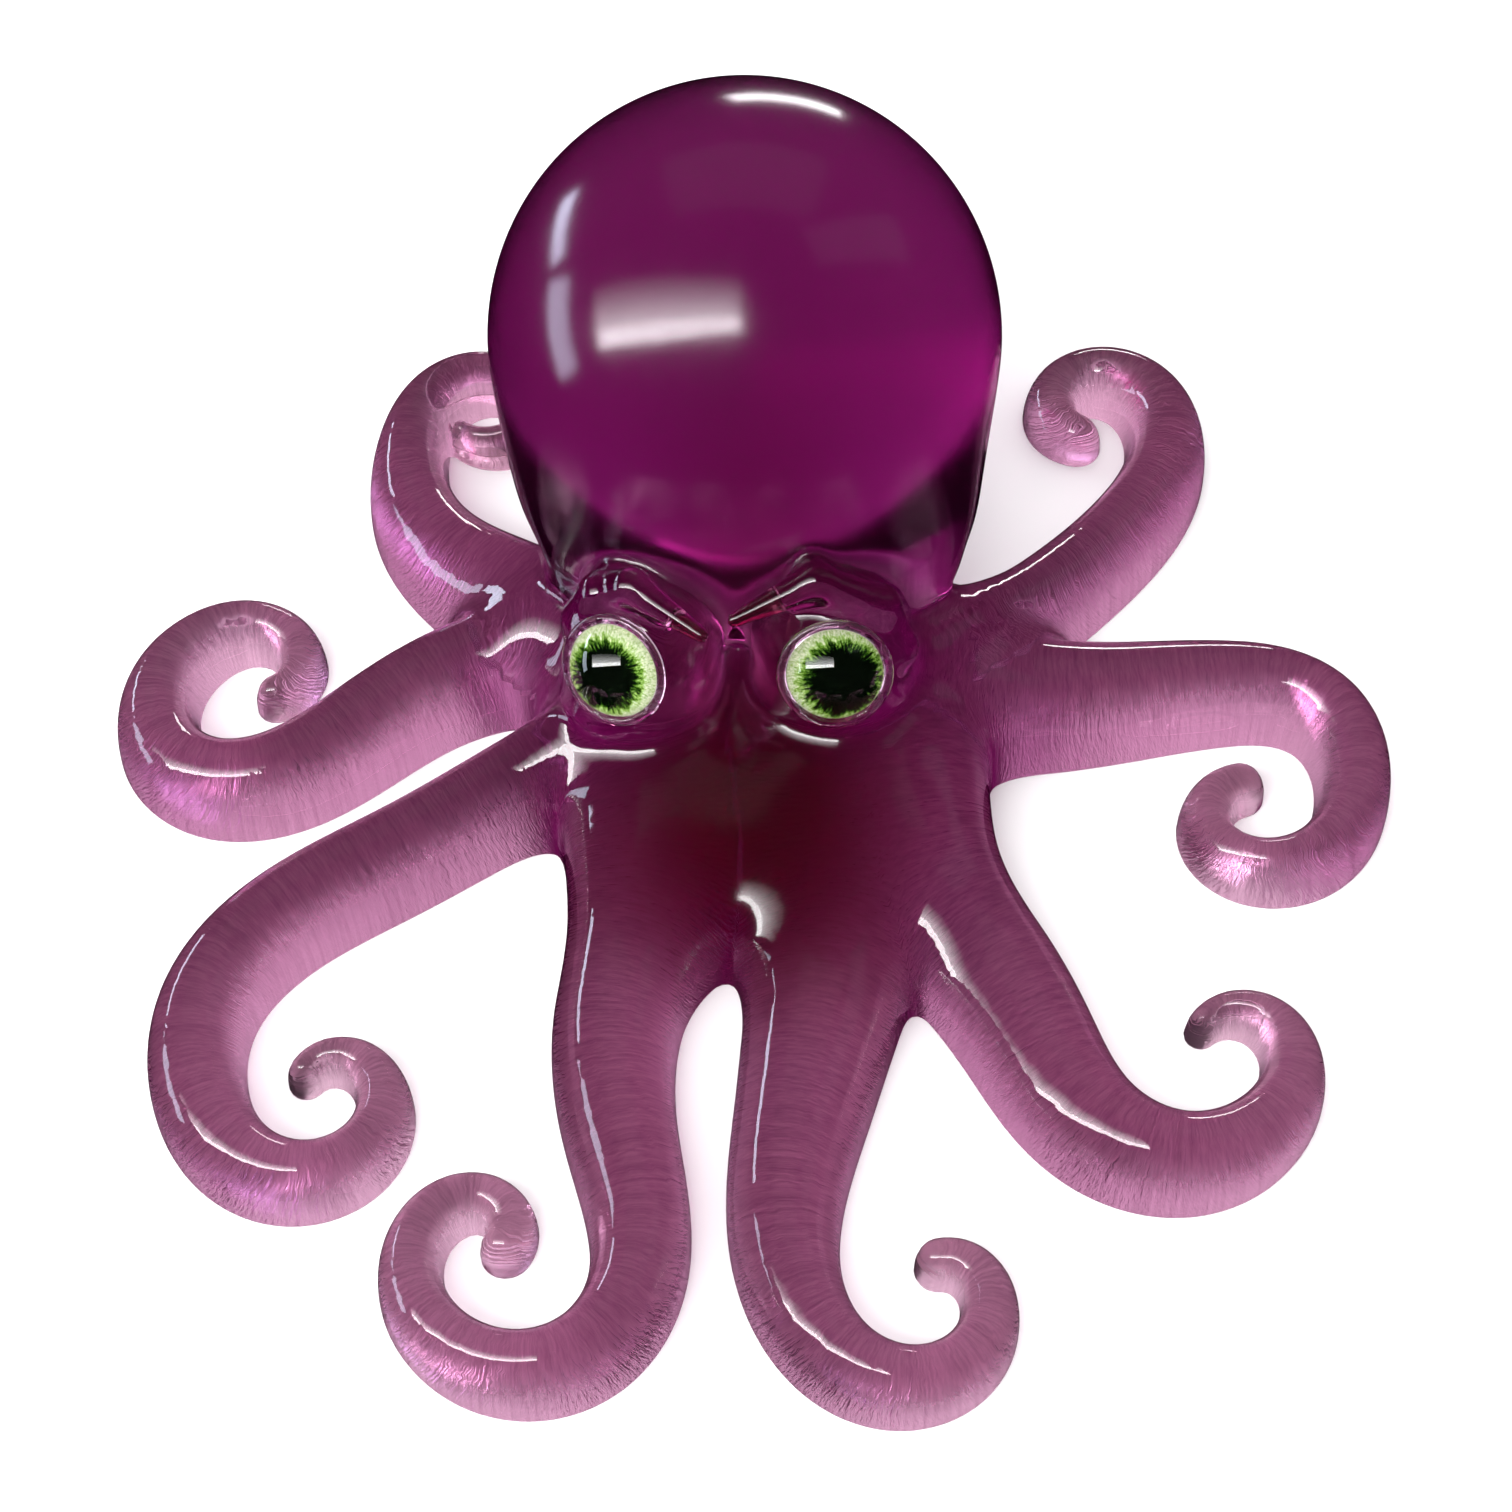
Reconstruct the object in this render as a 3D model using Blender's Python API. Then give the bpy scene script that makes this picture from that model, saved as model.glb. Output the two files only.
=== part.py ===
"""Octopus desk ornament, cast in one pour of clear plum resin, with two glued-in glass eyes.

Millimetres are written as numbers times MM. Z is up, the octopus faces -Y, its flat underside
lies on z = 0, and the origin is in the middle of the outline that it covers on the table.
"""

import math
from collections import namedtuple

import bmesh
import bpy
import numpy as np
from mathutils import Matrix, Vector

MM = 0.001
GAP = 0.3 * MM  # left between pieces that touch
BELOW_TABLE = 3 * MM  # how far the joined shapes run under z = 0 before the foot is cut flat

# The mantle is a ball that leans back over the rear arms. A chin widens it in front, low down,
# and a nape under it joins it to the rear arms.
MANTLE_CENTRE = Vector((-1.6, 41.2, 32.8)) * MM
MANTLE_RADIUS = 27.3 * MM
CHIN_CENTRE = Vector((-0.7, 26.0, 20.5)) * MM
CHIN_RADII = Vector((24.0, 8.7, 9.2)) * MM
NAPE_CENTRE = Vector((-0.5, 32.0, 18.0)) * MM
NAPE_RADII = Vector((22.0, 13.0, 14.0)) * MM

# The web is the low mound that joins the arms. Two bumps on it carry the eyes.
WEB_CENTRE = Vector((2.0, 8.5, 0.0)) * MM
WEB_RADII = Vector((25.0, 28.0, 15.5)) * MM
EYE_BUMP_RADIUS = 8.0 * MM
EYE_BUMP_DEPTH = 5.6 * MM  # from the flat back of the glass down to the middle of the bump

# An arm lies flat and curls in plan. Its heading is in degrees from +X, its bends are degrees
# of turn per millimetre at even places from root to tip, and its widths are at root, middle
# and tip. The casting's own node ends at the split, where the arm stands clear of the others.
Arm = namedtuple("Arm", "start heading length bends widths split")
ARMS = {
    "back_left": Arm(
        (-21.39, 23.02), 132.2, 72.0, (1.39, 0.45, -2.35, -2.84, -2.26, -6.06, -10.7, -13.5, -9.4),
        (16.35, 8.32, 2.9), 15
    ),
    "left": Arm(
        (-16.4, 19.1), 160, 91.6, (3.0, 2.6, 1.7, -1.6, -6.4, -5.2, -4.4, -10.5, -17.0),
        (13.0, 10.2, 4.2), 21
    ),
    "front_left": Arm(
        (-16.56, 7.41), -153.18, 103.2, (0.43, 0.41, -0.36, 1.71, 3.55, 3.04, 7.25, 7.51, 18.5),
        (10.1, 10.3, 3.4), 20
    ),
    "centre_left": Arm(
        (-10.09, 2.69), -68.98, 110.8, (-4.0, -1.22, 2.09, 0.9, -3.01, -6.16, -4.27, -8.23, -24.5),
        (17.8, 9.7, 4.9), 23
    ),
    "centre_right": Arm(
        (7.62, -0.06), -81.16, 93.8, (0.17, -1.96, 0.23, -0.19, 1.62, 3.21, 6.94, 6.95, 19.0),
        (22.0, 11.4, 4.5), 26
    ),
    "front_right": Arm(
        (13.74, 1.65), -83.82, 86.3, (1.49, 2.44, -1.29, -0.52, 3.6, 5.59, 3.67, 9.58, 14.5),
        (18.5, 12.0, 2.9), 26
    ),
    "right": Arm(
        (16.13, 16.26), -7.25, 92.2, (-0.17, 1.0, 0.44, -0.97, -6.9, -3.15, -6.32, -10.54, -10.1),
        (18.6, 9.3, 5.5), 23
    ),
    "back_right": Arm(
        (22.9, 19.8), 40, 72.5, (0.5, 0.3, 0.3, 1.1, 2.3, 4.5, 8.1, 12.7, 16.5),
        (9.9, 9.7, 5.2), 16
    ),
}
ROOT_INSIDE = 9.0  # mm by which an arm starts behind its root, inside the web
ARM_HEIGHT = 9.5  # mm, in the first half of an arm
TIP_HEIGHT = 4.2
ROOT_RISE = 4.5  # mm more at the root, where the arm runs up into the web
ROOT_RISE_LENGTH = 25.0
WALL_SHARE = 0.6  # share of the height that is upright wall, below the rounded top
ARCH_POINTS = 7
TIP_TURNS = (30, 58, 80)  # degrees round the tip at which it has a section
STATION_STEP = 0.3  # distance between sections, as a share of the width there

# An eye is a flat-backed glass dome on a printed paper disc, bedded in a dish of clear glue.
Eye = namedtuple("Eye", "centre azimuth elevation")
EYES = {
    "left": Eye((-14.6, 5.3, 21.4), -30, 27),
    "right": Eye((8.1, 5.0, 21.2), 2, 27),
}
GLASS_RADIUS = 5.0 * MM
GLASS_HEIGHT = 3.9 * MM
PRINT_RADIUS = 4.9 * MM
PRINT_THICKNESS = 0.3 * MM
GLUE_WALL = 1.1 * MM
GLUE_FLOOR = 1.0 * MM
GLUE_RIM = 0.5 * MM  # how far the glue stands above the back of the glass
GLASS_EDGE = 0.5 * MM  # height of the dome's upright edge
TURNED_STEPS = 32

MANTLE_SEGMENTS = 40
LOBE_SEGMENTS = 32
BUMP_SEGMENTS = 24
CUTTER_SPAN = 200 * MM
CUTTER_DEPTH = 40 * MM


def clear_scene():
    for obj in list(bpy.data.objects):
        bpy.data.objects.remove(obj)


def new_collection(name):
    collection = bpy.data.collections.new(name)
    bpy.context.scene.collection.children.link(collection)
    return collection


def principled(name, colour, roughness, transmission=0.0, ior=1.5):
    material = bpy.data.materials.new(name)
    material.use_nodes = True
    shader = material.node_tree.nodes["Principled BSDF"]
    shader.inputs["Base Color"].default_value = (*colour, 1.0)
    shader.inputs["Roughness"].default_value = roughness
    shader.inputs["Metallic"].default_value = 0.0
    shader.inputs["Transmission Weight"].default_value = transmission
    shader.inputs["IOR"].default_value = ior
    material.diffuse_color = (*colour, 1.0)
    return material


def object_from(bm, name, collection, material=None):
    """A smooth-shaded object holding this bmesh, with its faces turned outwards."""
    bmesh.ops.recalc_face_normals(bm, faces=bm.faces)
    mesh = bpy.data.meshes.new(name)
    bm.to_mesh(mesh)
    bm.free()
    mesh.shade_smooth()
    mesh.set_sharp_from_angle(angle=math.radians(40))
    obj = bpy.data.objects.new(name, mesh)
    collection.objects.link(obj)
    if material:
        mesh.materials.append(material)
    return obj


def as_helper(obj):
    obj.hide_render = True
    obj.display_type = "WIRE"
    return obj


def boolean(obj, other, operation):
    modifier = obj.modifiers.new(f"{operation.title()} {other.name}", "BOOLEAN")
    modifier.object = other
    modifier.operation = operation
    modifier.solver = "EXACT"


def ellipsoid(name, centre, radii, collection, segments):
    bm = bmesh.new()
    place = Matrix.Translation(centre) @ Matrix.Diagonal((*radii, 1.0))
    rows = segments // 2
    bmesh.ops.create_uvsphere(bm, u_segments=segments, v_segments=rows, radius=1.0, matrix=place)
    return object_from(bm, name, collection)


def arm_width(arm, along):
    """Width at this share of the arm's length, on the parabola through its three widths."""
    root, middle, tip = arm.widths
    past_middle = 2 * along - 1
    return root * past_middle * (along - 1) + middle * 4 * along * (1 - along) + tip * along * past_middle


def arm_height(arm, s):
    along = max(s, 0.0) / arm.length
    rise = ROOT_RISE * max(0.0, 1 - max(s, 0.0) / ROOT_RISE_LENGTH) ** 2
    return ARM_HEIGHT - (ARM_HEIGHT - TIP_HEIGHT) * along**3 + rise


def arm_path(arm):
    """A function that gives (x, y, heading) at a distance from the root, in mm and radians."""
    fine = np.linspace(0, arm.length, 400)
    bend = np.interp(fine, np.linspace(0, arm.length, len(arm.bends)), arm.bends)
    step = fine[1] - fine[0]
    heading = math.radians(arm.heading) + np.radians(np.cumsum(bend) - bend / 2 - bend[0] / 2) * step
    x = arm.start[0] + (np.cumsum(np.cos(heading)) - np.cos(heading)) * step
    y = arm.start[1] + (np.cumsum(np.sin(heading)) - np.sin(heading)) * step

    def at(s):
        behind = min(s, 0.0)
        turned = float(np.interp(s, fine, heading))
        return (
            float(np.interp(s, fine, x)) + behind * math.cos(turned),
            float(np.interp(s, fine, y)) + behind * math.sin(turned),
            turned,
        )

    return at


def section(place, width, height, arch, foot):
    """A ring of points across the arm: flat foot, upright walls and a rounded top."""
    x, y, heading = place
    wall = height * WALL_SHARE
    outline = [(-width / 2, foot)]
    for turn in np.linspace(math.pi, 0, ARCH_POINTS):
        outline.append((width / 2 * math.cos(turn), wall + (height - wall) * arch * math.sin(turn)))
    outline.append((width / 2, foot))
    right = Vector((math.sin(heading), -math.cos(heading), 0.0))
    return [(Vector((x, y, up)) + across * right) * MM for across, up in outline]


def arm_sections(arm, first, last, foot=0.0):
    """Sections from one distance along the arm to another, closing roundly where the arm ends."""
    at = arm_path(arm)
    tip_radius = arm.widths[2] / 2
    ends_in_tip = last >= arm.length
    stop = arm.length - tip_radius if ends_in_tip else last
    stations = [first]
    while stations[-1] < stop:
        width = arm_width(arm, max(stations[-1], 0.0) / arm.length)
        stations.append(stations[-1] + STATION_STEP * width)
    stretch = (stop - first) / (stations[-1] - first)
    rings = []
    for station in stations:
        s = first + (station - first) * stretch
        width = arm_width(arm, max(s, 0.0) / arm.length)
        rings.append(section(at(s), width, arm_height(arm, s), 1.0, foot))
    if ends_in_tip:
        for turn in TIP_TURNS:
            s = stop + tip_radius * math.sin(math.radians(turn))
            narrow = math.cos(math.radians(turn))
            width = arm_width(arm, s / arm.length) * narrow
            rings.append(section(at(s), width, arm_height(arm, s), narrow, foot))
    return rings


def loft(name, rings, collection, material=None):
    """Skins rings of equal length with quads and closes both ends."""
    bm = bmesh.new()
    rows = [[bm.verts.new(point) for point in ring] for ring in rings]
    for row, following in zip(rows, rows[1:]):
        for i in range(len(row)):
            j = (i + 1) % len(row)
            bm.faces.new((row[i], row[j], following[j], following[i]))
    bm.faces.new(rows[0])
    bm.faces.new(rows[-1])
    return object_from(bm, name, collection, material)


def build_arms(parts, material):
    for name, arm in ARMS.items():
        rings = arm_sections(arm, arm.split + GAP / MM, arm.length)
        loft(f"arm_{name}", rings, parts, material)


def eye_frame(eye):
    """The eye's own axes: its origin on the flat back of the glass, and its +Z along its line of sight."""
    turn = Matrix.Rotation(math.radians(eye.azimuth), 4, "Z")
    tilt = Matrix.Rotation(math.radians(90 - eye.elevation), 4, "X")
    return Matrix.Translation(Vector(eye.centre) * MM) @ turn @ tilt


def turned(name, profile, frame, collection, material=None):
    """Turns a closed (radius, height) profile, listed from bottom axis to top axis, about the frame's Z."""
    bm = bmesh.new()
    corners = [bm.verts.new((radius, 0.0, height)) for radius, height in profile]
    edges = [bm.edges.new(pair) for pair in zip(corners, corners[1:])]
    bmesh.ops.spin(
        bm,
        geom=corners + edges,
        angle=2 * math.pi,
        steps=TURNED_STEPS,
        axis=(0.0, 0.0, 1.0),
        cent=(0.0, 0.0, 0.0),
        use_merge=True,
    )
    bmesh.ops.remove_doubles(bm, verts=bm.verts, dist=0.001 * MM)
    obj = object_from(bm, name, collection, material)
    obj.matrix_world = frame
    return obj


def glass_profile():
    """A dome of glass: a flat back, a short edge and a spherical cap."""
    cap = GLASS_HEIGHT - GLASS_EDGE
    sphere = (GLASS_RADIUS**2 + cap**2) / (2 * cap)
    half_angle = math.asin(GLASS_RADIUS / sphere)
    profile = [(0.0, 0.0), (GLASS_RADIUS, 0.0)]
    for turn in np.linspace(half_angle, 0, 8):
        rise = sphere * (math.cos(turn) - math.cos(half_angle))
        profile.append((sphere * math.sin(turn), GLASS_EDGE + rise))
    return profile


def glue_profile():
    """A dish: a floor under the printed disc and a rounded rim round the glass."""
    inner = GLASS_RADIUS + GAP
    outer = inner + GLUE_WALL
    floor_top = -(GAP + PRINT_THICKNESS + GAP)
    bottom = floor_top - GLUE_FLOOR
    round_over = GLUE_WALL / 2
    profile = [(0.0, bottom), (outer, bottom)]
    for turn in np.linspace(0, math.pi, 7):
        out = round_over * (1 + math.cos(turn))
        down = round_over * (1 - math.sin(turn))
        profile.append((inner + out, GLUE_RIM - down))
    return profile + [(inner, floor_top), (0.0, floor_top)]


def socket_profile():
    """The clearance that the glue dish sits in, open towards the front."""
    radius = GLASS_RADIUS + GAP + GLUE_WALL + GAP
    bottom = -(GAP + PRINT_THICKNESS + GAP) - GLUE_FLOOR - GAP
    return [(0.0, bottom), (radius, bottom), (radius, GLASS_HEIGHT * 2), (0.0, GLASS_HEIGHT * 2)]


def build_eyes(parts, glass, paper, glue):
    for side, eye in EYES.items():
        frame = eye_frame(eye)
        turned(f"{side}_eye_glass", glass_profile(), frame, parts, glass)
        card = [
            (0.0, -GAP - PRINT_THICKNESS),
            (PRINT_RADIUS, -GAP - PRINT_THICKNESS),
            (PRINT_RADIUS, -GAP),
            (0.0, -GAP),
        ]
        turned(f"{side}_iris_print", card, frame, parts, paper)
        turned(f"{side}_eye_glue", glue_profile(), frame, parts, glue)


def build_head(parts, helpers, material):
    """The middle of the casting: mantle, chin, nape, web, eye bumps and the roots of the arms."""
    head = ellipsoid("head_and_web", MANTLE_CENTRE, (MANTLE_RADIUS,) * 3, parts, MANTLE_SEGMENTS)
    head.data.materials.append(material)
    joined = [
        ellipsoid("chin", CHIN_CENTRE, CHIN_RADII, helpers, LOBE_SEGMENTS),
        ellipsoid("nape", NAPE_CENTRE, NAPE_RADII, helpers, LOBE_SEGMENTS),
        ellipsoid("web", WEB_CENTRE, WEB_RADII, helpers, LOBE_SEGMENTS),
    ]
    for side, eye in EYES.items():
        centre = eye_frame(eye) @ Vector((0.0, 0.0, -EYE_BUMP_DEPTH))
        radii = (EYE_BUMP_RADIUS,) * 3
        joined.append(ellipsoid(f"{side}_eye_bump", centre, radii, helpers, BUMP_SEGMENTS))
    for name, arm in ARMS.items():
        rings = arm_sections(arm, -ROOT_INSIDE, arm.split, foot=-BELOW_TABLE / MM)
        joined.append(loft(f"root_{name}", rings, helpers))
    for piece in joined:
        boolean(head, as_helper(piece), "UNION")

    bm = bmesh.new()
    size = Matrix.Diagonal((CUTTER_SPAN, CUTTER_SPAN, CUTTER_DEPTH, 1.0))
    under = Matrix.Translation((0.0, 0.0, -CUTTER_DEPTH / 2)) @ size
    bmesh.ops.create_cube(bm, size=1.0, matrix=under)
    cutters = [object_from(bm, "below_table", helpers)]
    for side, eye in EYES.items():
        cutters.append(turned(f"{side}_socket", socket_profile(), eye_frame(eye), helpers))
    for cutter in cutters:
        boolean(head, as_helper(cutter), "DIFFERENCE")
    return head


def main():
    clear_scene()
    parts = new_collection("Octopus ornament")
    helpers = new_collection("Helpers")
    resin = principled("plum_resin", (0.25, 0.02, 0.16), 0.06, transmission=0.9)
    glass = principled("clear_glass", (0.95, 1.0, 0.95), 0.02, transmission=1.0)
    paper = principled("printed_paper", (0.35, 0.55, 0.2), 0.7)
    glue = principled("clear_glue", (0.6, 0.3, 0.5), 0.1, transmission=0.9)
    build_head(parts, helpers, resin)
    build_arms(parts, resin)
    build_eyes(parts, glass, paper, glue)


main()
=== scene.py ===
"""Looks of the octopus ornament: one fused casting in clear plum resin, and its glass eyes.

The casting is sculpted as a distance field in millimetres: the arms, the web, the mantle and
the face are solids that melt into each other. The field is then skinned and shaded.
"""

import math
from collections import namedtuple

import bmesh
import bpy
import numpy as np
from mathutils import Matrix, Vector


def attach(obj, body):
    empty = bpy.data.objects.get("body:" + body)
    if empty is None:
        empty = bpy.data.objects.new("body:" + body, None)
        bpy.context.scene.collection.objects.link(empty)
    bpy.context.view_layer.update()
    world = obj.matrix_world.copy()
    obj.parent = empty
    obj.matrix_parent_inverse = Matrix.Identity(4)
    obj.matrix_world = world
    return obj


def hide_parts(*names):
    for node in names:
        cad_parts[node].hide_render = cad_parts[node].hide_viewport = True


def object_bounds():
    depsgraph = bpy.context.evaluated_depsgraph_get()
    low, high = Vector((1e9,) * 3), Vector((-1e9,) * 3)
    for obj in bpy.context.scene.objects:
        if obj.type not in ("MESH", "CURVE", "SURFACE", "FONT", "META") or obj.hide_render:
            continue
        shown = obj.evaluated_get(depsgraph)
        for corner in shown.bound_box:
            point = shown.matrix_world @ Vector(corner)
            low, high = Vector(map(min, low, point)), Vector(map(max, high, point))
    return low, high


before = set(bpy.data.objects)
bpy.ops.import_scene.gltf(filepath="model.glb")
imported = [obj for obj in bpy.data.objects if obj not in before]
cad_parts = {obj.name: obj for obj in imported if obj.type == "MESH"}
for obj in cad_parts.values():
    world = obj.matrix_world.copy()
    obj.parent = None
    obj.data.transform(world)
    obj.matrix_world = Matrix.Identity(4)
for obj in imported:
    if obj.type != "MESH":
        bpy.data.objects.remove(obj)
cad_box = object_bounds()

import openvdb
from mathutils import Matrix, Vector

MM = 0.001
VOXEL = 0.72  # mm, size of the quads that skin the casting

# The camera looks down on the face from the front.
VIEW_ELEVATION = math.radians(54)
VIEW_DISTANCE = 0.330
VIEW_TARGET = Vector((0.0, 0.010, 0.0))
LENS = 72.0
SENSOR = 36.0
TABLE_GAP = 0.03 * MM
TABLE_SIZE = 2.0

# Lights in metres and watts, and how bright the room is in front of and behind the ornament.
LIGHT_DISTANCE = 0.9
SKYLIGHT = (0.72, 0.82, 1.0)
HIGH_SKYLIGHT = (0.85, 0.9, 1.0)
BAR_GLOW = (1.1, 0.9, 0.7, 0.5, 0.35, 0.2, 0.1)  # of the strips that fade upwards over the bar
GLOW_WIDTH = 0.036
GLOW_START = 0.055
ROOM_FRONT = 0.5
ROOM_BACK = 1.9

# Plum resin: how much red, green and blue light it takes up per metre of path.
RESIN_UPTAKE = (15.0, 48.0, 19.0)
RESIN_LIGHT = (0.63, 0.43, 0.49)
RESIN_DARK = (0.55, 0.36, 0.43)
TIP_TINT = (0.74, 0.57, 0.62)
TIP_FROM = 45.0  # mm along an arm, from where it pales
TIP_TO = 105.0
RESIN_IOR = 1.5
RIBS_PER_MM = 3.0
# Painted shade on the ribs: their darker lines stand in for the light and dark streaks that refraction
# through the ribs on the foot makes.
RIB_PAINTED_SHADE = (0.66, 0.60, 0.64)  # of the light that passes the darkest rib

# The pour is thickest down the middle of the face and in the mantle. Both are darkest there: the mantle by
# a deeper plum, the face also by painted shade of the head's shadow over it.
FACE_CENTRE = (-0.5, -3.0, 0.0)
ANY_HEIGHT = 1000.0
FACE_REACH = (22.0, 31.0, ANY_HEIGHT)
# Painted shade: the head's shadow over the middle of the face.
FACE_PAINTED_SHADE = (0.40, 0.015, 0.12)
MANTLE_REACH = (31.0, 31.0, 31.0)
MANTLE_TINT = (0.42, 0.10, 0.36)

# Roughness of the polished skin, and how much more the foot, the mantle and the face have.
SKIN_ROUGHNESS = 0.05
FOOT_ROUGHNESS = 0.3
MANTLE_ROUGHNESS = 0.13
FACE_ROUGHNESS = 0.10

# The moulded shape in mm. It follows the CAD, with softer joins between its lobes.
MANTLE_CENTRE = (-1.2, 41.2, 32.8)
MANTLE_RADII = (27.3, 27.3, 27.3)
CHIN_CENTRE = (0.3, 24.0, 18.0)
CHIN_RADII = (19.0, 6.0, 6.5)
NAPE_CENTRE = (1.0, 32.0, 14.0)
NAPE_RADII = (19.0, 12.0, 12.0)
WEB_CENTRE = (2.0, 8.0, 0.0)
WEB_RADII = (22.5, 26.0, 12.8)
WEB_POWER = 3.8
ARM_HEIGHT = 9.5
TIP_HEIGHT = 4.2
ROOT_RISE = 5.0
ROOT_RISE_LENGTH = 25.0
ROOT_INSIDE = 9.0
SPINE_STEP = 0.4
SPINE_BLUR = 0.5  # over which width and height change where a point is as near to two places
POINTS_AT_ONCE = 20000  # keeps the table of points against spine within memory
SECTION_POWER = 2.2  # of an arm's cross-section: 2 is half an ellipse, more is squarer

# How far two solids reach for each other where they melt together, in mm.
ARM_MELT = 2.5
WEB_MELT = 4.0
NECK_MELT = 5.0
CHIN_MELT = 16.0
MANTLE_MELT = 2.5
FACE_MELT = 5.0

Arm = namedtuple("Arm", "start heading length bends widths")
ARMS = {
    "back_left": Arm(
        (-21.39, 23.02), 132.2, 72.0, (1.39, 0.45, -2.35, -2.84, -2.26, -6.06, -10.7, -13.5, -9.4),
        (16.35, 8.32, 2.9)
    ),
    "left": Arm(
        (-16.4, 19.1), 160, 91.6, (3.0, 2.6, 1.7, -1.6, -6.4, -5.2, -4.4, -10.5, -17.0),
        (13.0, 10.2, 4.2)
    ),
    "front_left": Arm(
        (-16.56, 7.41), -153.18, 103.2, (0.43, 0.41, -0.36, 1.71, 3.55, 3.04, 7.25, 7.51, 18.5),
        (10.1, 10.3, 3.4)
    ),
    "centre_left": Arm(
        (-10.09, 2.69), -68.98, 110.8, (-4.0, -1.22, 2.09, 0.9, -3.01, -6.16, -4.27, -8.23, -24.5),
        (17.8, 9.7, 4.9)
    ),
    "centre_right": Arm(
        (7.62, -0.06), -81.16, 93.8, (0.17, -1.96, 0.23, -0.19, 1.62, 3.21, 6.94, 6.95, 19.0),
        (22.0, 11.4, 4.5)
    ),
    "front_right": Arm(
        (13.74, 1.65), -83.82, 86.3, (1.49, 2.44, -1.29, -0.52, 3.6, 5.59, 3.67, 9.58, 14.5),
        (18.5, 12.0, 2.9)
    ),
    "right": Arm(
        (16.13, 16.26), -7.25, 92.2, (-0.17, 1.0, 0.44, -0.97, -6.9, -3.15, -6.32, -10.54, -10.1),
        (18.6, 9.3, 5.5)
    ),
    "back_right": Arm(
        (22.9, 19.8), 40, 72.5, (0.5, 0.3, 0.3, 1.1, 2.3, 4.5, 8.1, 12.7, 16.5),
        (9.9, 9.7, 5.2)
    ),
}

SIDES = {"left": 1, "right": -1}  # +1 where the nose lies towards +X
GLASS_RADIUS = 5.0
GLASS_HEIGHT = 3.9
EYE_BUMP_RADIUS = 7.6
EYE_BUMP_DEPTH = 5.6
COLLAR = (5.55, 0.3, 0.5, 0.4)  # its middle radius and height, half width and half height
POCKET_RADIUS = 5.2
POCKET_FLOOR = -0.45
# A lid runs over each eye from its outer side, up to a peak and down to a flap beside the nose:
# places in the eye's own frame, with the first coordinate towards the nose, and their radii.
LIDS = {
    "left": ((-6.2, 2.4, -2.6), (-4.6, 6.2, -2.2), (-1.0, 8.8, -1.4), (8.0, 7.4, -0.8)),
    "right": ((-6.8, 1.6, -2.6), (-4.8, 6.4, -2.2), (1.8, 9.6, -1.5), (10.2, 5.9, -0.8)),
}
LID_RADII = (1.9, 2.0, 1.8, 0.8)
# The pupils are printed, but moved and widened here to hold a painted dark reflection in each dome.
PUPILS_WITH_DARK_REFLECTION = {"left": (-0.3, -0.5, 0.97), "right": (0.7, -0.3, 1.12)}  # middle on the print in mm, and size
LID_MELT = 2.5
LID_BOX = ((0, 15), (5, 12), (0, 9))  # middle and half size of the box that holds a lid
FAR = 99.0  # stands for the distance to a lid outside that box


def smooth_min(a, b, reach):
    """The smaller of two distances, melted together where they differ by less than reach."""
    share = np.maximum(reach - np.abs(a - b), 0.0) / reach
    return np.minimum(a, b) - share * share * reach / 4


def smooth_max(a, b, reach):
    return -smooth_min(-a, -b, reach)


def ellipsoid(x, y, z, centre, radii):
    """Near enough the distance to an ellipsoid."""
    u, v, w = ((along - middle) / radius for along, middle, radius in zip((x, y, z), centre, radii))
    level = np.sqrt(u * u + v * v + w * w)
    slope = np.sqrt((u / radii[0]) ** 2 + (v / radii[1]) ** 2 + (w / radii[2]) ** 2)
    return level * (level - 1) / np.maximum(slope, 1e-6)


def mound(x, y, z, centre, radii, power):
    """Near enough the distance to a rounded box; its power makes it squarer than an ellipsoid."""
    u, v, w = (abs(along - middle) / radius for along, middle, radius in zip((x, y, z), centre, radii))
    return ((u**power + v**power + w**power) ** (1 / power) - 1) * min(radii)


def arm_spine(arm):
    """Points along the middle of an arm: x, y, distance from the root, half width and height."""
    s = np.arange(-ROOT_INSIDE, arm.length - arm.widths[2] / 2, SPINE_STEP)
    bend = np.interp(s, np.linspace(0, arm.length, len(arm.bends)), arm.bends) * (s >= 0)
    heading = math.radians(arm.heading) + np.radians(np.cumsum(bend) - bend / 2) * SPINE_STEP
    x = np.cumsum(np.cos(heading)) * SPINE_STEP
    y = np.cumsum(np.sin(heading)) * SPINE_STEP
    x += arm.start[0] - np.interp(0, s, x)
    y += arm.start[1] - np.interp(0, s, y)
    along = np.maximum(s, 0.0) / arm.length
    root_width, middle_width, tip_width = arm.widths
    width = root_width * (2 * along - 1) * (along - 1)
    width += middle_width * 4 * along * (1 - along) + tip_width * along * (2 * along - 1)
    height = ARM_HEIGHT - (ARM_HEIGHT - TIP_HEIGHT) * along**3
    height += ROOT_RISE * np.maximum(0.0, 1 - np.maximum(s, 0.0) / ROOT_RISE_LENGTH) ** 2
    return [line.astype(np.float32) for line in (x, y, s, width / 2, height)]


SPINES = [arm_spine(arm) for arm in ARMS.values()]


def arm_plans(x, y):
    """For each arm, seen from above: distance off its spine, half width, height and place along it."""
    shape = x.shape
    x, y = x.ravel().astype(np.float32), y.ravel().astype(np.float32)
    plans = []
    for spine_x, spine_y, s, half, height in SPINES:
        plan = np.empty((4, len(x)))
        for first in range(0, len(x), POINTS_AT_ONCE):
            rows = slice(first, first + POINTS_AT_ONCE)
            apart = np.hypot(x[rows, None] - spine_x, y[rows, None] - spine_y)
            edge = apart - half
            nearest_edge = edge.min(axis=1)
            share = np.exp((nearest_edge[:, None] - edge) / SPINE_BLUR)
            share /= share.sum(axis=1, keepdims=True)
            plan[1:, rows] = np.stack((half, height, s)) @ share.T
            plan[0, rows] = np.maximum(nearest_edge + plan[1, rows], 0.0)
        plans.append(plan.reshape(4, *shape))
    return plans


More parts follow.
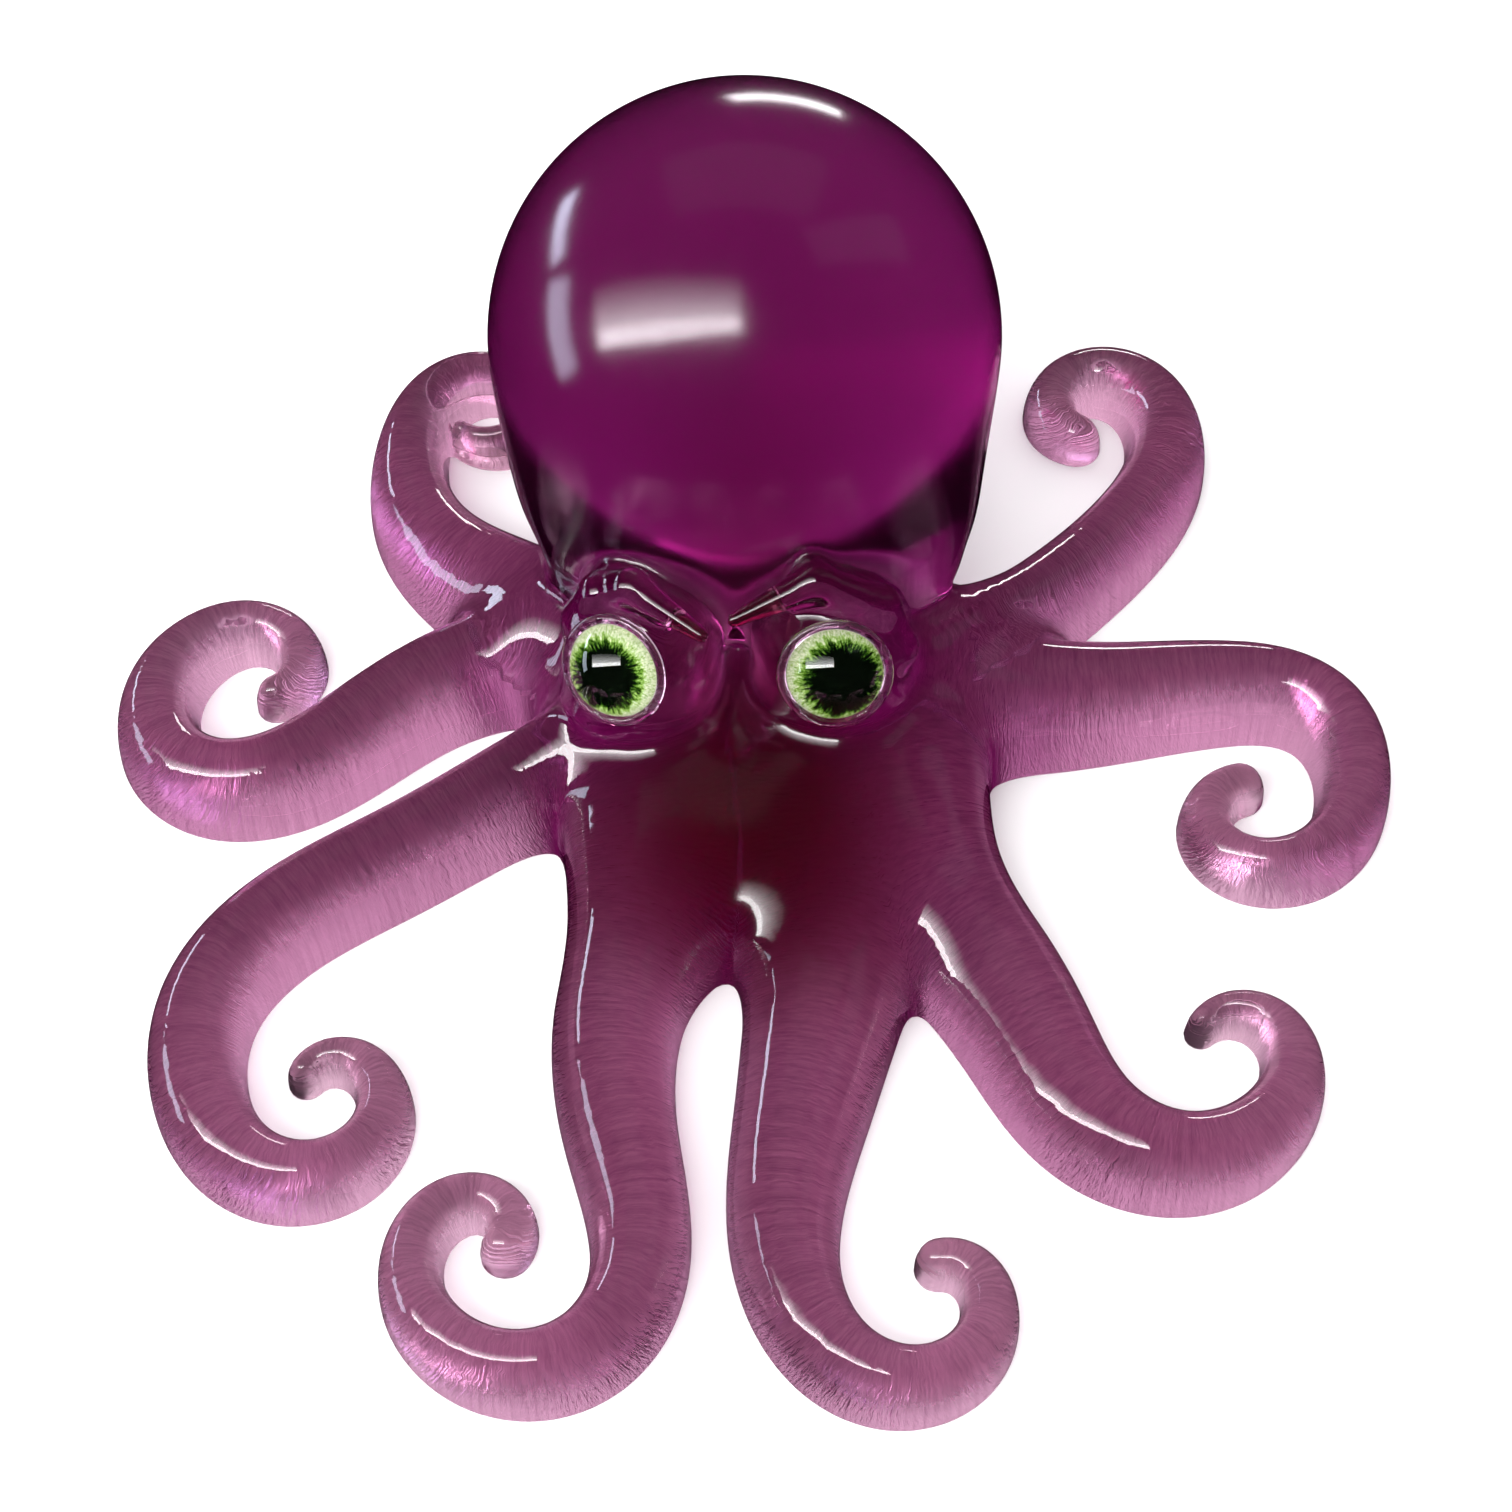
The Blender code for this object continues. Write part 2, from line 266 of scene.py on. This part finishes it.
def eye_frames():
    """Each eye's own axes in mm, from its printed disc: +X level, +Y up the face, +Z along its sight."""
    frames = {}
    for side in SIDES:
        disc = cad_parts[f"{side}_iris_print"]
        points = np.array([disc.matrix_world @ corner.co for corner in disc.data.vertices]) / MM
        middle = (points.min(axis=0) + points.max(axis=0)) / 2
        sight = Vector(np.linalg.svd(points - points.mean(axis=0))[2][2])
        if sight.y > 0:
            sight.negate()
        level = Vector((0, 0, 1)).cross(sight).normalized()
        axes = Matrix((level, sight.cross(level), sight)).transposed().to_4x4()
        thickness = np.ptp(points @ np.array(sight))
        frames[side] = Matrix.Translation(Vector(middle) + sight * thickness / 2) @ axes
    return frames


EYES = eye_frames()


def in_eye_frame(x, y, z, eye):
    turn = np.array(eye.to_3x3())
    offset = [axis - middle for axis, middle in zip((x, y, z), eye.translation)]
    return [sum(offset[row] * turn[row, column] for row in range(3)) for column in range(3)]


def lid(x, y, z, side):
    """Distance to a lid: a ridge of changing thickness along a bent line over the eye."""
    u, v, w = in_eye_frame(x, y, z, EYES[side])
    distance = np.full(np.broadcast(u, v, w).shape, FAR)
    near = np.full(distance.shape, True)
    for axis, (middle, half) in zip((u, v, w), LID_BOX):
        near &= np.abs(axis - middle) < half
    u, v, w = (np.broadcast_to(axis, distance.shape)[near] for axis in (u, v, w))
    found = np.full(u.shape, FAR)
    corners = np.array(LIDS[side]) * (SIDES[side], 1, 1)
    bends = zip(corners, corners[1:], LID_RADII, LID_RADII[1:])
    for start, end, start_radius, end_radius in bends:
        run = end - start
        share = ((u - start[0]) * run[0] + (v - start[1]) * run[1] + (w - start[2]) * run[2]) / (run @ run)
        share = np.clip(share, 0.0, 1.0)
        a, b, c = (start[axis] + share * run[axis] for axis in range(3))
        radius = start_radius + share * (end_radius - start_radius)
        found = smooth_min(found, np.sqrt((u - a) ** 2 + (v - b) ** 2 + (w - c) ** 2) - radius, 1.0)
    distance[near] = found
    return distance


def casting_field(x, y, z, plans):
    """Distance to the casting's skin in mm, below zero inside. It runs on below the table."""
    up = np.maximum(z, 0.0)
    arms = None
    for off_axis, half, height, _ in plans:
        level = ((off_axis / half) ** SECTION_POWER + (up / height) ** SECTION_POWER) ** (1 / SECTION_POWER)
        arm = (level - 1) * half
        arms = arm if arms is None else smooth_min(arms, arm, ARM_MELT)
    body = smooth_min(arms, mound(x, y, up, WEB_CENTRE, WEB_RADII, WEB_POWER), WEB_MELT)
    body = smooth_min(body, ellipsoid(x, y, z, NAPE_CENTRE, NAPE_RADII), NECK_MELT)
    head = ellipsoid(x, y, z, MANTLE_CENTRE, MANTLE_RADII)
    head = smooth_min(head, ellipsoid(x, y, z, CHIN_CENTRE, CHIN_RADII), CHIN_MELT)
    body = smooth_min(body, head, MANTLE_MELT)
    for side, eye in EYES.items():
        ball = eye @ Vector((0.0, 0.0, -EYE_BUMP_DEPTH))
        body = smooth_min(body, ellipsoid(x, y, z, ball, (EYE_BUMP_RADIUS,) * 3), FACE_MELT)
        body = smooth_min(body, lid(x, y, z, side), LID_MELT)
        u, v, w = in_eye_frame(x, y, z, eye)
        pocket = np.maximum(np.hypot(u, v) - POCKET_RADIUS, POCKET_FLOOR - w)
        body = smooth_max(body, -pocket, 0.3)
    return body


def skin_of_field():
    """Quads over the casting, and which of its vertices lie on the flat foot."""
    low = np.array(cad_box[0]) / MM - 3
    high = np.array(cad_box[1]) / MM + 3
    low[2] = -2.5 * VOXEL
    counts = np.ceil((high - low) / VOXEL).astype(int)
    x, y, z = (low[axis] + np.arange(counts[axis]) * VOXEL for axis in range(3))
    x, y = np.meshgrid(x, y, indexing="ij")
    x, y, z = x[:, :, None], y[:, :, None], z[None, None, :]
    field = casting_field(x, y, z, arm_plans(x, y))
    field = np.maximum(field, -z)
    grid = openvdb.FloatGrid(background=4 * VOXEL)
    grid.copyFromArray(np.clip(field, -3 * VOXEL, 3 * VOXEL).astype(np.float32))
    points, quads = grid.convertToQuads(isovalue=0.0)
    points = low + points.astype(float) * VOXEL
    on_foot = points[:, 2] < 0.6 * VOXEL
    return points, quads.astype(int), on_foot


def slope_of_field(points):
    """The field and its gradient at these points."""
    x, y, z = points.T
    nudge = 0.05
    plans = arm_plans(x, y)
    here = casting_field(x, y, z, plans)
    slope = np.empty_like(points)
    slope[:, 0] = casting_field(x + nudge, y, z, arm_plans(x + nudge, y)) - here
    slope[:, 1] = casting_field(x, y + nudge, z, arm_plans(x, y + nudge)) - here
    slope[:, 2] = casting_field(x, y, z + nudge, plans) - here
    return here, slope / nudge, plans


def settle(points, on_foot):
    """Moves the vertices onto the skin: round the edge of the foot within the table, elsewhere freely."""
    points[on_foot, 2] = 0.0
    for _ in range(3):
        here, slope, _ = slope_of_field(points)
        slope[on_foot, 2] = 0.0
        size = np.maximum((slope * slope).sum(axis=1), 0.05)
        move = np.clip(here / size, -0.5 * VOXEL, 0.5 * VOXEL)
        move[on_foot & (here < -0.8 * VOXEL)] = 0.0
        points -= move[:, None] * slope
    points[:, 2] = np.where(on_foot, 0.0, np.maximum(points[:, 2], 0.1 * VOXEL))
    return points


def build_casting(material):
    points, quads, on_foot = skin_of_field()
    points = settle(points, on_foot)
    _, slope, plans = slope_of_field(points)
    normals = slope / np.maximum(np.linalg.norm(slope, axis=1, keepdims=True), 1e-6)
    mesh = bpy.data.meshes.new("resin_casting")
    mesh.from_pydata(points * MM, [], quads)
    mesh.shade_smooth()
    foot_quads = on_foot[quads].all(axis=1)
    corner_normals = normals[quads]
    corner_normals[foot_quads] = (0.0, 0.0, -1.0)
    mesh.normals_split_custom_set(corner_normals.reshape(-1, 3))

    # The ribs run across the arms, so the skin remembers its place along them.
    edge = np.stack([off_axis - half for off_axis, half, _, _ in plans])
    nearest = edge.argmin(axis=0)
    every = np.arange(len(points))
    along = np.stack([plan[3] for plan in plans])[nearest, every]
    across = np.stack([plan[0] for plan in plans])[nearest, every]
    ribs = mesh.uv_layers.new(name="ribs")
    places = np.stack([along, across], axis=1)[quads.ravel()]
    ribs.uv.foreach_set("vector", places.astype(np.float32).ravel())

    casting = bpy.data.objects.new("resin_casting", mesh)
    bpy.context.scene.collection.objects.link(casting)
    mesh.materials.append(material)
    return casting


class Shader:
    """A new material with short ways to add and join its nodes."""

    def __init__(self, name, **values):
        self.material = bpy.data.materials.new(name)
        self.material.use_nodes = True
        self.nodes = self.material.node_tree.nodes
        self.principled = self.nodes["Principled BSDF"]
        self.output = self.nodes["Material Output"]
        for socket, value in values.items():
            self.set(socket.replace("_", " "), value)

    def set(self, socket, value):
        self.principled.inputs[socket].default_value = value

    def add(self, kind, operation=None, **inputs):
        node = self.nodes.new(kind)
        if operation:
            node.operation = operation
        for socket, value in inputs.items():
            self.plug(node, socket.replace("_", " "), value)
        return node

    def plug(self, node, socket, value):
        """Sets an input, or joins it to another node's output."""
        by_place = socket.startswith("in") and socket[2:].isdigit()
        target = node.inputs[int(socket[2:]) if by_place else socket]
        if isinstance(value, bpy.types.NodeSocket):
            self.material.node_tree.links.new(value, target)
        else:
            target.default_value = value

    def maths(self, operation, first, second=0.0):
        node = self.add("ShaderNodeMath", operation)
        self.plug(node, "in0", first)
        self.plug(node, "in1", second)
        return node.outputs[0]

    def ramp(self, factor, *stops):
        """A colour ramp: each stop is a place and a colour."""
        node = self.add("ShaderNodeValToRGB")
        self.plug(node, "Fac", factor)
        elements = node.color_ramp.elements
        while len(elements) < len(stops):
            elements.new(0.5)
        for element, (place, colour) in zip(elements, stops):
            element.position = place
            element.color = (*colour, 1.0)
        return node.outputs["Color"]

    def mix(self, blend, first, second, factor=1.0):
        node = self.add("ShaderNodeMix")
        node.data_type = "RGBA"
        node.blend_type = blend
        for socket, value in (("in0", factor), ("in6", first), ("in7", second)):
            self.plug(node, socket, value)
        return node.outputs[2]

    def noise(self, vector, scale, detail=2.0, roughness=0.5):
        node = self.add("ShaderNodeTexNoise", Scale=scale, Detail=detail, Roughness=roughness)
        self.plug(node, "Vector", vector)
        return node.outputs["Fac"]

    def volume(self, uptake):
        """Takes up light along its path through the piece, in red, green and blue per metre."""
        density = max(uptake) * 1.05
        colour = [1 - amount / density for amount in uptake]
        node = self.add("ShaderNodeVolumeAbsorption", Color=(*colour, 1.0), Density=density)
        self.plug(self.output, "Volume", node.outputs[0])


def nearness(shader, place, centre, reach, inner, outer):
    """1 within the inner share of the reach around the centre, in mm, falling to 0 at the outer share."""
    centre, reach = (tuple(length * MM for length in lengths) for lengths in (centre, reach))
    offset = shader.add("ShaderNodeVectorMath", "SUBTRACT", in0=place, in1=centre)
    scaled = shader.add("ShaderNodeVectorMath", "DIVIDE", in0=offset.outputs[0], in1=reach)
    away = shader.add("ShaderNodeVectorMath", "LENGTH", in0=scaled.outputs[0]).outputs["Value"]
    fall = shader.add("ShaderNodeMapRange", in0=away, in1=inner, in2=outer, in3=1.0, in4=0.0)
    fall.interpolation_type = "SMOOTHSTEP"
    return fall.outputs[0]


def resin_tint(shader, place, along, rib, in_face, in_mantle):
    """Plum, cloudy in places, paler to the tips, darker on the ribs by painted shade, and darkest in the
    face, by painted shadow of the head, and in the mantle.
    """
    plum = shader.ramp(shader.noise(place, 60.0, detail=3.0), (0.3, RESIN_LIGHT), (0.7, RESIN_DARK))
    tip = shader.add("ShaderNodeMapRange", in0=along, in1=TIP_FROM, in2=TIP_TO)
    plum = shader.mix("MIX", plum, (*TIP_TINT, 1.0), tip.outputs[0])
    # Painted shade: the ribs darken the plum in place of the streaks that refraction through them makes.
    painted_rib_shade = shader.ramp(rib, (0.32, RIB_PAINTED_SHADE), (0.62, (1.0, 1.0, 1.0)))
    elsewhere = shader.maths("SUBTRACT", 1.0, shader.maths("MAXIMUM", in_mantle, in_face))
    plum_with_rib_shade = shader.mix("MULTIPLY", plum, painted_rib_shade, elsewhere)
    # Painted shade of the head's shadow, over the face.
    face = shader.mix("MULTIPLY", plum_with_rib_shade, (*FACE_PAINTED_SHADE, 1.0), in_face)
    return shader.mix("MULTIPLY", face, (*MANTLE_TINT, 1.0), in_mantle)


def resin_material():
    shader = Shader("plum_resin", Transmission_Weight=1.0, IOR=RESIN_IOR)
    place = shader.add("ShaderNodeTexCoord").outputs["Object"]
    shader.volume(RESIN_UPTAKE)

    # Fine ribs run across the arms.
    ribs = shader.add("ShaderNodeUVMap")
    ribs.uv_map = "ribs"
    stretched = shader.add("ShaderNodeVectorMath", "MULTIPLY", in1=(RIBS_PER_MM, RIBS_PER_MM / 6, 1.0))
    shader.plug(stretched, "in0", ribs.outputs["UV"])
    rib = shader.noise(stretched.outputs[0], 1.0, detail=2.0, roughness=0.6)
    along = shader.add("ShaderNodeSeparateXYZ", in0=ribs.outputs["UV"]).outputs["X"]
    in_face = nearness(shader, place, FACE_CENTRE, FACE_REACH, 0.2, 1.0)
    in_mantle = nearness(shader, place, MANTLE_CENTRE, MANTLE_REACH, 0.92, 1.05)
    tint = resin_tint(shader, place, along, rib, in_face, in_mantle)
    shader.plug(shader.principled, "Base Color", tint)

    height = shader.add("ShaderNodeSeparateXYZ")
    shader.plug(height, "Vector", place)
    foot = shader.maths("LESS_THAN", height.outputs["Z"], 0.1 * MM)
    rib_bump = shader.add("ShaderNodeBump", Strength=0.6, Distance=0.15 * MM)
    shader.plug(rib_bump, "Height", shader.maths("MULTIPLY", rib, foot))
    skin_bump = shader.add("ShaderNodeBump", Strength=0.25, Distance=0.12 * MM)
    shader.plug(skin_bump, "Height", shader.noise(place, 90.0, detail=3.0))
    shader.plug(skin_bump, "Normal", rib_bump.outputs["Normal"])
    shader.plug(shader.principled, "Normal", skin_bump.outputs["Normal"])
    roughness = shader.maths("MULTIPLY", shader.noise(place, 400.0), SKIN_ROUGHNESS)
    for where, more in ((foot, FOOT_ROUGHNESS), (in_mantle, MANTLE_ROUGHNESS), (in_face, FACE_ROUGHNESS)):
        roughness = shader.maths("ADD", roughness, shader.maths("MULTIPLY", where, more))
    shader.plug(shader.principled, "Roughness", roughness)
    return shader.material


def glass_material():
    shader = Shader("eye_glass", Base_Color=(1.0, 1.0, 1.0, 1.0), Transmission_Weight=1.0, IOR=1.52)
    place = shader.add("ShaderNodeTexCoord").outputs["Object"]
    shader.plug(shader.principled, "Roughness", shader.maths("MULTIPLY", shader.noise(place, 900.0), 0.03))
    shader.volume((6.0, 2.0, 7.0))
    return shader.material


def glue_material():
    shader = Shader("clear_glue", Base_Color=(1.0, 1.0, 1.0, 1.0), Transmission_Weight=1.0, IOR=1.48)
    place = shader.add("ShaderNodeTexCoord").outputs["Object"]
    bump = shader.add("ShaderNodeBump", Strength=0.4, Distance=0.2 * MM)
    shader.plug(bump, "Height", shader.noise(place, 500.0))
    shader.plug(shader.principled, "Normal", bump.outputs["Normal"])
    shader.plug(shader.principled, "Roughness", shader.maths("MULTIPLY", shader.noise(place, 900.0), 0.1))
    shader.volume(tuple(8 * amount for amount in RESIN_UPTAKE))
    return shader.material


def iris_material(side):
    """The printed iris: a ragged black pupil, moved and widened by a painted dark reflection, green rays
    that pale outwards, and a white margin.
    """
    shader = Shader(f"{side}_iris_print", Roughness=0.6, Specular_IOR_Level=0.0)
    place = shader.add("ShaderNodeTexCoord").outputs["Object"]

    def polar(off_x, off_y, size):
        moved = shader.add("ShaderNodeVectorMath", "SUBTRACT", in0=place, in1=(off_x * MM, off_y * MM, 0.0))
        split = shader.add("ShaderNodeSeparateXYZ")
        shader.plug(split, "Vector", moved.outputs[0])
        across, up = split.outputs["X"], split.outputs["Y"]
        flat = shader.add("ShaderNodeCombineXYZ", X=across, Y=up)
        length = shader.add("ShaderNodeVectorMath", "LENGTH", in0=flat.outputs[0])
        radius = shader.maths("DIVIDE", length.outputs["Value"], GLASS_RADIUS * MM * size)
        return radius, shader.maths("ARCTAN2", up, across)

    # The pupil's place and size hold a painted dark reflection as well as the print.
    radius, angle = polar(*PUPILS_WITH_DARK_REFLECTION[side])
    around = shader.add("ShaderNodeCombineXYZ")
    shader.plug(around, "X", shader.maths("MULTIPLY", shader.maths("COSINE", angle), 7.0))
    shader.plug(around, "Y", shader.maths("MULTIPLY", shader.maths("SINE", angle), 7.0))
    shader.plug(around, "Z", shader.maths("MULTIPLY", radius, 4.0))
    rays = shader.noise(around.outputs[0], 1.4, detail=6.0, roughness=0.8)
    ragged = shader.maths("ADD", radius, shader.maths("MULTIPLY", shader.maths("SUBTRACT", rays, 0.5), 1.1))
    colour = shader.ramp(
        ragged,
        (0.0, (0.002, 0.003, 0.002)),
        (0.50, (0.002, 0.004, 0.002)),
        (0.56, (0.03, 0.09, 0.01)),
        (0.61, (0.18, 0.36, 0.04)),
        (0.68, (0.50, 0.70, 0.20)),
        (0.78, (0.93, 0.95, 0.76)),
        (0.95, (0.86, 0.91, 0.64)),
    )
    mottle = shader.noise(around.outputs[0], 3.0, detail=5.0, roughness=0.8)
    mottled = shader.ramp(mottle, (0.40, (0.42, 0.58, 0.22)), (0.56, (1.0, 1.0, 1.0)))
    colour = shader.mix("MULTIPLY", colour, mottled)
    from_rim, _ = polar(0.0, 0.35, 1.0)
    margin = shader.ramp(from_rim, (0.955, (0.0, 0.0, 0.0)), (0.965, (1.0, 1.0, 1.0)))
    white = (0.80, 0.76, 0.78, 1.0)
    shader.plug(shader.principled, "Base Color", shader.mix("MIX", colour, white, margin))
    return shader.material


def turned(name, profile, eye, material, steps=96):
    """A closed shape turned about the eye's axis from (radius, height) corners in mm."""
    bm = bmesh.new()
    corners = [bm.verts.new((radius * MM, 0.0, height * MM)) for radius, height in profile]
    edges = [bm.edges.new(pair) for pair in zip(corners, corners[1:])]
    if profile[0] == profile[-1]:
        bm.verts.remove(corners.pop())
        edges = [edge for edge in edges if edge.is_valid] + [bm.edges.new((corners[-1], corners[0]))]
    turn = {"axis": (0, 0, 1), "cent": (0, 0, 0), "angle": 2 * math.pi, "steps": steps, "use_merge": True}
    bmesh.ops.spin(bm, geom=corners + edges, **turn)
    bmesh.ops.remove_doubles(bm, verts=bm.verts, dist=1e-3 * MM)
    bmesh.ops.recalc_face_normals(bm, faces=bm.faces)
    mesh = bpy.data.meshes.new(name)
    bm.to_mesh(mesh)
    bm.free()
    mesh.shade_smooth()
    mesh.set_sharp_from_angle(angle=math.radians(35))
    mesh.materials.append(material)
    obj = bpy.data.objects.new(name, mesh)
    bpy.context.scene.collection.objects.link(obj)
    obj.matrix_world = Matrix.Translation(eye.translation * MM) @ eye.to_3x3().to_4x4()
    return obj


def dome_profile():
    edge = 0.5
    cap = GLASS_HEIGHT - edge
    ball = (GLASS_RADIUS**2 + cap**2) / (2 * cap)
    half_angle = math.asin(GLASS_RADIUS / ball)
    profile = [(0.0, 0.0), (GLASS_RADIUS - 0.15, 0.0), (GLASS_RADIUS, 0.15)]
    for turn in np.linspace(half_angle, 0, 24):
        profile.append((ball * math.sin(turn), edge + ball * (math.cos(turn) - math.cos(half_angle))))
    return profile


def ring_profile(middle, height, half_width, half_height):
    """A closed oval seen in section."""
    turns = np.linspace(0, 2 * math.pi, 25)[:-1]
    profile = []
    for turn in turns:
        profile.append((middle + half_width * math.cos(turn), height + half_height * math.sin(turn)))
    return profile + [profile[0]]


def build_eyes(glass, glue):
    """A dome of glass on a printed disc, with a low collar of glue round it."""
    pieces = {}
    for side in SIDES:
        eye = EYES[side]
        dome = turned(f"{side}_dome", dome_profile(), eye, glass)
        card = [(0.0, -0.35), (4.85, -0.35), (4.9, -0.3), (4.9, 0.0), (4.85, 0.05), (0.0, 0.05)]
        disc = turned(f"{side}_iris", card, eye, iris_material(side))
        collar = turned(f"{side}_collar", ring_profile(*COLLAR), eye, glue)
        pieces.update({
            f"{side}_eye_glass": (dome, "glass"),
            f"{side}_iris_print": (disc, "print"),
            f"{side}_eye_glue": (collar, "glue"),
        })
    return pieces


def table_material():
    shader = Shader("white_table", Roughness=0.9)
    place = shader.add("ShaderNodeTexCoord").outputs["Object"]
    white = shader.ramp(shader.noise(place, 30.0), (0.3, (0.86, 0.86, 0.86)), (0.7, (0.88, 0.88, 0.88)))
    shader.plug(shader.principled, "Base Color", white)
    return shader.material


def build_table():
    mesh = bpy.data.meshes.new("table")
    bm = bmesh.new()
    bmesh.ops.create_grid(bm, x_segments=2, y_segments=2, size=TABLE_SIZE)
    bm.to_mesh(mesh)
    bm.free()
    mesh.materials.append(table_material())
    table = bpy.data.objects.new("table", mesh)
    table.location.z = -TABLE_GAP
    table.visible_glossy = False
    bpy.context.scene.collection.objects.link(table)


def build_camera():
    data = bpy.data.cameras.new("camera")
    data.lens = LENS
    data.sensor_width = SENSOR
    camera = bpy.data.objects.new("camera", data)
    back = Vector((0.0, -math.cos(VIEW_ELEVATION), math.sin(VIEW_ELEVATION)))
    camera.location = VIEW_TARGET + back * VIEW_DISTANCE
    camera.rotation_euler = (math.pi / 2 - VIEW_ELEVATION, 0.0, 0.0)
    bpy.context.scene.collection.objects.link(camera)
    bpy.context.scene.camera = camera


def area_light(name, start, end, width, power, colour=(1.0, 1.0, 1.0)):
    """A rectangular light that faces the mantle and runs between two directions seen from there."""
    middle = Vector(MANTLE_CENTRE) * MM
    first, last = (middle + Vector(direction).normalized() * LIGHT_DISTANCE for direction in (start, end))
    length = (last - first).normalized()
    outward = ((first + last) / 2 - middle).normalized()
    outward = (outward - length * outward.dot(length)).normalized()
    data = bpy.data.lights.new(name, "AREA")
    data.shape = "RECTANGLE"
    data.size = (last - first).length
    data.size_y = width
    data.energy = power
    data.color = colour
    light = bpy.data.objects.new(name, data)
    turn = Matrix((length, outward.cross(length), outward)).transposed().to_4x4()
    light.matrix_world = Matrix.Translation((first + last) / 2) @ turn
    bpy.context.scene.collection.objects.link(light)


def build_lights():
    area_light("left_window", (-0.96, 0.25, 0.18), (-0.97, -0.22, -0.06), 0.18, 1.9, SKYLIGHT)
    area_light("side_window", (-0.92, 0.36, 0.17), (-0.70, 0.70, 0.10), 0.10, 1.2, SKYLIGHT)
    area_light("bar", (-0.91, -0.30, 0.29), (-0.02, -0.62, 0.78), 0.09, 5.5)
    for step, power in enumerate(BAR_GLOW):
        rise = GLOW_START + GLOW_WIDTH * step
        start, end = (-0.91, -0.30 + rise, 0.29 + rise / 2), (-0.02, -0.62 + rise, 0.78 + rise / 2)
        area_light(f"glow_{step}", start, end, GLOW_WIDTH, power)
    area_light("back_window", (-0.05, 0.99, 0.14), (0.30, 0.95, 0.02), 0.10, 1.2)
    area_light("high_window", (0.45, -0.03, 0.89), (0.85, 0.35, 0.39), 0.25, 0.12, HIGH_SKYLIGHT)
    area_light("ceiling", (-0.45, 0.45, 0.77), (0.45, 0.45, 0.77), 0.50, 0.2)
    world = bpy.data.worlds.new("studio")
    bpy.context.scene.world = world
    world.use_nodes = True
    world.cycles_visibility.glossy = False
    nodes = world.node_tree.nodes
    background = nodes["Background"]
    # The room is brighter behind the ornament than in front of it.
    direction = nodes.new("ShaderNodeTexCoord")
    facing = nodes.new("ShaderNodeVectorMath")
    facing.operation = "DOT_PRODUCT"
    facing.inputs[1].default_value = (0.0, 1.0, 0.0)
    share = nodes.new("ShaderNodeMapRange")
    share.inputs["From Min"].default_value = -1.0
    share.inputs["To Min"].default_value = ROOM_FRONT
    share.inputs["To Max"].default_value = ROOM_BACK
    links = world.node_tree.links
    links.new(direction.outputs["Generated"], facing.inputs[0])
    links.new(facing.outputs["Value"], share.inputs["Value"])
    links.new(share.outputs[0], background.inputs["Strength"])
    background.inputs["Color"].default_value = (1.0, 1.0, 1.0, 1.0)
    bpy.context.scene.view_settings.view_transform = "Standard"


def main():
    build_camera()
    build_table()
    build_lights()
    casting = build_casting(resin_material())
    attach(casting, "root")
    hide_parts("head_and_web", *(f"arm_{name}" for name in ARMS))
    for node, (piece, slot) in build_eyes(glass_material(), glue_material()).items():
        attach(piece, "root")
        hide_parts(node)


main()
